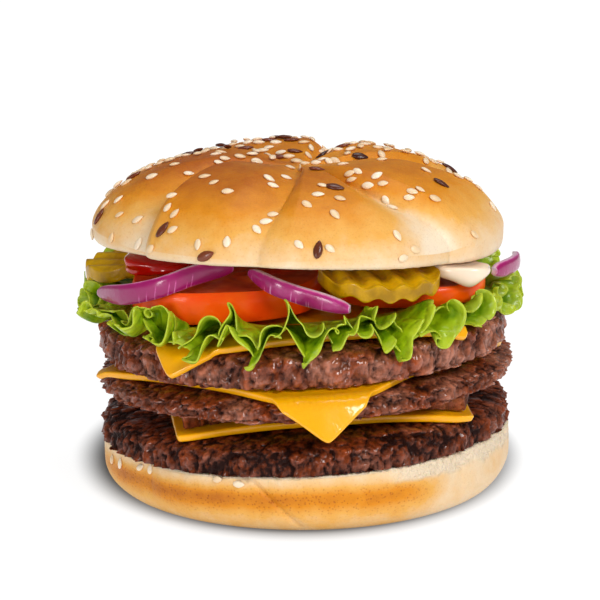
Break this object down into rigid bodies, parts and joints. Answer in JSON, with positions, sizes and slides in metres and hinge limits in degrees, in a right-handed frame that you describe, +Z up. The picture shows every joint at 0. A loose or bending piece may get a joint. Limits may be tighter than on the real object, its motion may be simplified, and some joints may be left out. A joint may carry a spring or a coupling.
{
  "type": "triple cheeseburger",
  "caption": "Tall burger on a seeded pinwheel roll: stacked beef patties with melted cheese slices, frilled lettuce, tomato, gherkin and red onion slices, and a drip of mayonnaise.",
  "frame": {"origin": "middle of the burger's footprint, on the surface that it stands on", "axes": "+Z up through the stack, -Y towards the side that the picture shows, +X to its right"},
  "size_m": [0.1264, 0.1278, 0.0953],
  "materials": {
    "crown_crust": "satin baked crust, golden brown on top and cream at the rim",
    "heel_crust": "matte baked crust, cream with a browned band",
    "beef": "seared and moist, with small highlights",
    "cheese": "smooth and softly shiny",
    "lettuce": "crisp leaf with paler edges",
    "tomato": "wet skin",
    "gherkin": "wet and slightly see-through",
    "red_onion": "glossy purple skin with white cut edges",
    "mayonnaise": "smooth and glossy"
  },
  "bodies": {
    "root": {"crown": "crown_crust", "heel": "heel_crust", "patty_lower": "beef", "patty_middle": "beef", "patty_upper": "beef", "cheese_lower": "cheese", "cheese_middle": "cheese", "cheese_upper": "cheese", "lettuce": "lettuce", "tomato_front_left": "tomato", "tomato_front_right": "tomato", "tomato_back_left": "tomato", "tomato_back_right": "tomato", "pickle_front": "gherkin", "pickle_left": "gherkin", "pickle_back": "gherkin", "onion_left": "red_onion", "onion_centre": "red_onion", "onion_right": "red_onion", "onion_back": "red_onion", "mayonnaise": "mayonnaise"}
  },
  "joints": []
}
